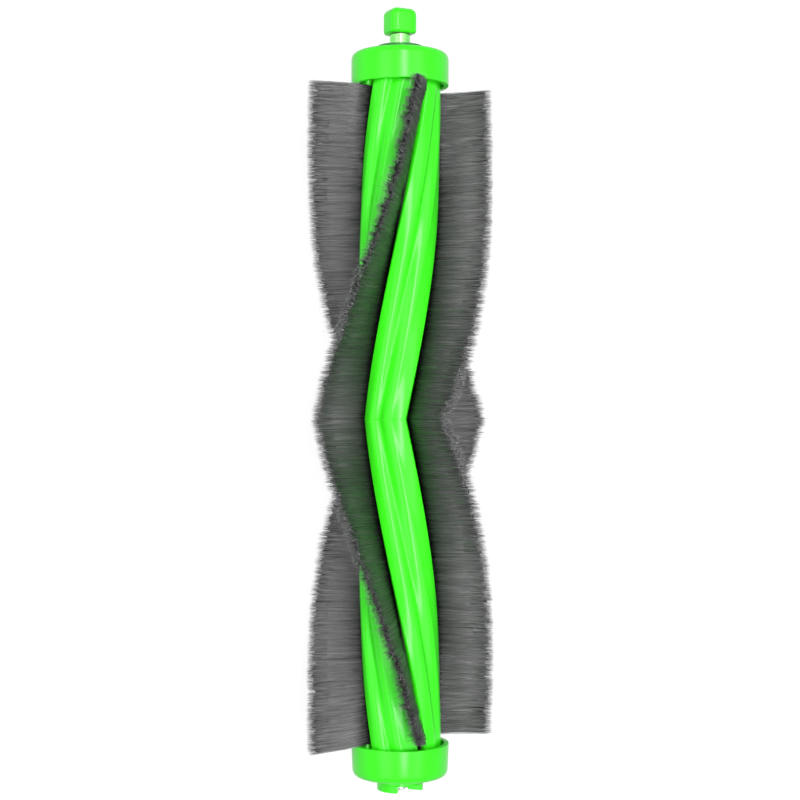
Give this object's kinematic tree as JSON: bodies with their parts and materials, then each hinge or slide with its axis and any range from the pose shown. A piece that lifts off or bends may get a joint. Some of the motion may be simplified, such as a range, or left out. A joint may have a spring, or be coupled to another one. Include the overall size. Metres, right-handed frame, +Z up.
{
  "type": "robot vacuum roller brush",
  "caption": "Roller brush with a channelled plastic core, V-shaped rows of soft bristles, closed end caps, a drive boss with dogs and a free-turning square bearing block.",
  "frame": {"origin": "on the brush's axis, at the middle of its overall length", "axes": "+Y along the axis towards the bearing block, +Z up as the brush lies on its bristle tips, +X to the right seen from the drive end"},
  "size_m": [0.0664, 0.2752, 0.0664],
  "materials": {
    "green_plastic": "glossy lime green moulding",
    "washer_plastic": "dull dark green disc",
    "sleeve_steel": "satin sleeve with a green cast",
    "steel": "ground steel",
    "bronze": "sintered bronze",
    "backing_plastic": "black folded strip",
    "bristle": "fine dark grey nylon fibres, lighter at the tips"
  },
  "bodies": {
    "brush": {"core_bearing_half": "green_plastic", "core_drive_half": "green_plastic", "bearing_end_cap": "green_plastic", "drive_end_cap": "green_plastic", "axle": "steel", "retaining_ring": "steel", "thrust_washer": "washer_plastic", "journal_sleeve": "sleeve_steel", "backing_bearing_1": "backing_plastic", "bristles_bearing_1": "bristle", "backing_bearing_2": "backing_plastic", "bristles_bearing_2": "bristle", "backing_bearing_3": "backing_plastic", "bristles_bearing_3": "bristle", "backing_bearing_4": "backing_plastic", "bristles_bearing_4": "bristle", "backing_drive_1": "backing_plastic", "bristles_drive_1": "bristle", "backing_drive_2": "backing_plastic", "bristles_drive_2": "bristle", "backing_drive_3": "backing_plastic", "bristles_drive_3": "bristle", "backing_drive_4": "backing_plastic", "bristles_drive_4": "bristle"},
    "block": {"bearing_block": "green_plastic", "bearing_bush": "bronze"}
  },
  "joints": [
    {"name": "block_turn", "type": "hinge", "parent": "brush", "child": "block", "pos_m": [0, 0.13312, 0], "axis": [0, 1, 0], "continuous": true}
  ]
}
